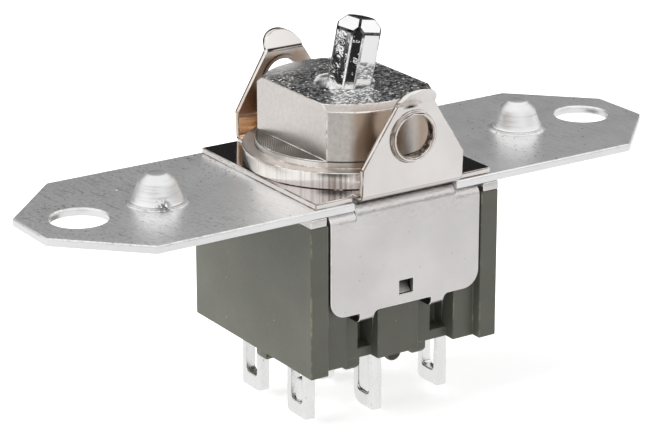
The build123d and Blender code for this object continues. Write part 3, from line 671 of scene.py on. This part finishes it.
def make_materials():
    """All surfaces of the object."""
    # Edge materials: painted highlights and dark reflections along the rounded edges
    bracket_edge = metal_edge("bracket_edge", (0.30, 0.23, 0.18), (0.96, 0.91, 0.87), 260)
    frame_edge = metal_edge("frame_edge", (0.80, 0.77, 0.74), (1.0, 0.98, 0.96), 500)
    bushing_edge = metal_edge("bushing_edge", (0.50, 0.42, 0.36), (0.92, 0.88, 0.84), 700, 0.6)
    paint(strap_sheet(), "mounting_strap")
    paint(bracket_sheet(), "rocker_bracket", edge=bracket_edge)
    paint(flap_sheet(), "frame", edge=frame_edge)
    paint(bushing_metal(), "bushing", edge=bushing_edge)
    paint(lever_chrome(), "lever", edge=lever_edge())
    paint(plain_metal("pin_steel", 0.6, 0.7, (1.0, 1.0, 1.0), 0.2), "pivot_pin")
    paint(case_resin(), "case", edge=edge_flash())
    paint(insulator(), "actuator", "plunger_front", "plunger_rear")
    bright = tin("terminal_tin", 0.26, 0.5)
    copper = plain_metal("contactor_copper", 0.55, 0.68, (1.0, 0.66, 0.42), 0.3)
    silver = plain_metal("contact_silver", 0.8, 0.9, (1.0, 0.99, 0.97), 0.25)
    wire = plain_metal("spring_wire", 0.5, 0.6, (1.0, 1.0, 1.0), 0.25)
    for name in NODES:
        if name.startswith("terminal"):
            paint(bright, name)
        elif name.startswith("contactor"):
            paint(copper, name)
        elif "contact_" in name:
            paint(silver, name)
        elif name.startswith("plunger_spring"):
            paint(wire, name)


def soften_edges():
    """Small rounded edges, so that every sheet and moulding catches light."""
    for name, node in NODES.items():
        width = EDGE_WIDTHS.get(name, TERMINAL_EDGE if name.startswith("terminal") else 0)
        if not width:
            continue
        for polygon in node.data.polygons:
            polygon.use_smooth = True
        weld = node.modifiers.new("seams", "WELD")
        weld.merge_threshold = SEAM * MM
        flat = node.modifiers.new("flat", "DECIMATE")
        flat.decimate_type = "DISSOLVE"
        flat.angle_limit = math.radians(0.5)
        bevel = node.modifiers.new("edge", "BEVEL")
        bevel.width = width * MM
        bevel.segments = 2
        bevel.limit_method = "ANGLE"
        bevel.angle_limit = math.radians(25)
        bevel.use_clamp_overlap = False
        bevel.loop_slide = False
        bevel.face_strength_mode = "FSTR_ALL"
        if len(node.data.materials) > 1:
            bevel.material = 1
        smooth = node.modifiers.new("weighted", "WEIGHTED_NORMAL")
        smooth.use_face_influence = True


def solder_fill(name, centre, half_sizes, roughness, material):
    """Lump of solder that fills the eye of a lug; sizes in millimetres."""
    mesh = bpy.data.meshes.new(name)
    shape = bmesh.new()
    bmesh.ops.create_icosphere(shape, subdivisions=5, radius=1.0)
    for vertex in shape.verts:
        squared = Vector(
            [math.copysign(abs(c) ** 0.35, c) * half for c, half in zip(vertex.co, half_sizes)]
        )
        place = squared + Vector(centre)
        ripple = noise.noise(place * 1.6) * 0.6 + noise.noise(place * 4.5) * 0.4
        vertex.co = (place + vertex.co * ripple * roughness) * MM
    shape.to_mesh(mesh)
    shape.free()
    for polygon in mesh.polygons:
        polygon.use_smooth = True
    mesh.materials.append(material)
    lump = bpy.data.objects.new(name, mesh)
    bpy.context.scene.collection.objects.link(lump)
    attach(lump, "base")


def make_solder():
    """Old solder in the eyes of two front lugs."""
    solder = tin("solder", 0.22, 1.0)
    for name, (centre, half_sizes, roughness) in SOLDER_LUMPS.items():
        solder_fill(name, centre, half_sizes, roughness, solder)


# Studio
def card(name, size, place, target, strength):
    """Area lamp aimed at a point, which metal doesn't mirror."""
    data = bpy.data.lights.new(name, "AREA")
    data.shape = "RECTANGLE"
    data.size, data.size_y = size
    data.energy = strength
    lamp = bpy.data.objects.new(name, data)
    bpy.context.scene.collection.objects.link(lamp)
    lamp.location = place
    lamp.rotation_mode = "QUATERNION"
    lamp.rotation_quaternion = (Vector(target) - Vector(place)).to_track_quat("-Z", "Y")
    lamp.visible_glossy = False


def upright(start, end, low, high):
    """Corners of a standing board over the line from start to end, in metres."""
    return [(*start, low), (*end, low), (*end, high), (*start, high)]


def flag(name, corners, value):
    """Dark board beside the set that only shows in reflections."""
    mesh = bpy.data.meshes.new(name)
    mesh.from_pydata(corners, [], [(0, 1, 2, 3)])
    board = bpy.data.objects.new(name, mesh)
    bpy.context.scene.collection.objects.link(board)
    s = Shader(name)
    cloud = s.noise((4, 4, 4))
    s.feed("Base Color", s.mix(cloud, grey(value), grey(value * 1.2)))
    s.feed("Roughness", 0.9)
    mesh.materials.append(s.material)
    board.visible_camera = False
    board.visible_diffuse = False
    board.visible_shadow = False
    board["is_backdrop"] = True


def world():
    """White behind the object, a softer level as light."""
    w = bpy.data.worlds.new("studio")
    bpy.context.scene.world = w
    w.use_nodes = True
    nodes, links = w.node_tree.nodes, w.node_tree.links
    path = nodes.new("ShaderNodeLightPath")
    total = path.outputs["Is Camera Ray"]
    for ray in ("Is Transmission Ray", "Is Glossy Ray"):
        either = nodes.new("ShaderNodeMath")
        either.operation = "MAXIMUM"
        links.new(total, either.inputs[0])
        links.new(path.outputs[ray], either.inputs[1])
        total = either.outputs["Value"]
    level = nodes.new("ShaderNodeMapRange")
    level.inputs["To Min"].default_value = WORLD_LIGHT
    level.inputs["To Max"].default_value = WORLD_SEEN
    links.new(total, level.inputs["Value"])
    background = nodes["Background"]
    background.inputs["Color"].default_value = (1, 1, 1, 1)
    links.new(level.outputs["Result"], background.inputs["Strength"])


def floor():
    """Plain white floor under the lugs, which shows the object's shadow."""
    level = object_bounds()[0][2] - FLOOR_GAP
    mesh = bpy.data.meshes.new("floor")
    corners = [(x * FLOOR_HALF, y * FLOOR_HALF, level) for x, y in ((-1, -1), (1, -1), (1, 1), (-1, 1))]
    mesh.from_pydata(corners, [], [(0, 1, 2, 3)])
    board = bpy.data.objects.new("floor", mesh)
    bpy.context.scene.collection.objects.link(board)
    s = Shader("floor_paper")
    grain = s.noise((60, 60, 60))
    s.feed("Base Color", s.mix(grain, grey(0.90), grey(0.93)))
    s.feed("Roughness", 0.9)
    path = s.nodes.new("ShaderNodeLightPath")
    s.feed("Emission Color", (1.0, 1.0, 1.0))
    s.feed("Emission Strength", s.times(path.outputs["Is Camera Ray"], FLOOR_SEEN))
    even = s.nodes.new("ShaderNodeEmission")
    even.inputs["Strength"].default_value = FLOOR_MIRRORED
    either = s.nodes.new("ShaderNodeMixShader")
    s.links.new(path.outputs["Is Glossy Ray"], either.inputs[0])
    s.links.new(s.surface.outputs["BSDF"], either.inputs[1])
    s.links.new(even.outputs["Emission"], either.inputs[2])
    s.links.new(either.outputs["Shader"], s.nodes["Material Output"].inputs["Surface"])
    mesh.materials.append(s.material)
    board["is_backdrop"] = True


def studio():
    """Soft key from the back left, a fill in front, and a low top light."""
    world()
    floor()
    for name, (size, place, target, watts) in LAMPS.items():
        card(name, size, place, target, watts)
    for name, (start, end, foot, top, level) in BOARDS.items():
        flag(name, upright(start, end, foot, top), level)
    flag("rear_floor_flag", [(*corner, BOARD_FOOT + FLOOR_GAP) for corner in FLAT_BOARD], 0.01)


photo_camera()
make_materials()
soften_edges()
make_solder()
studio()
bpy.context.scene.view_settings.view_transform = "Standard"
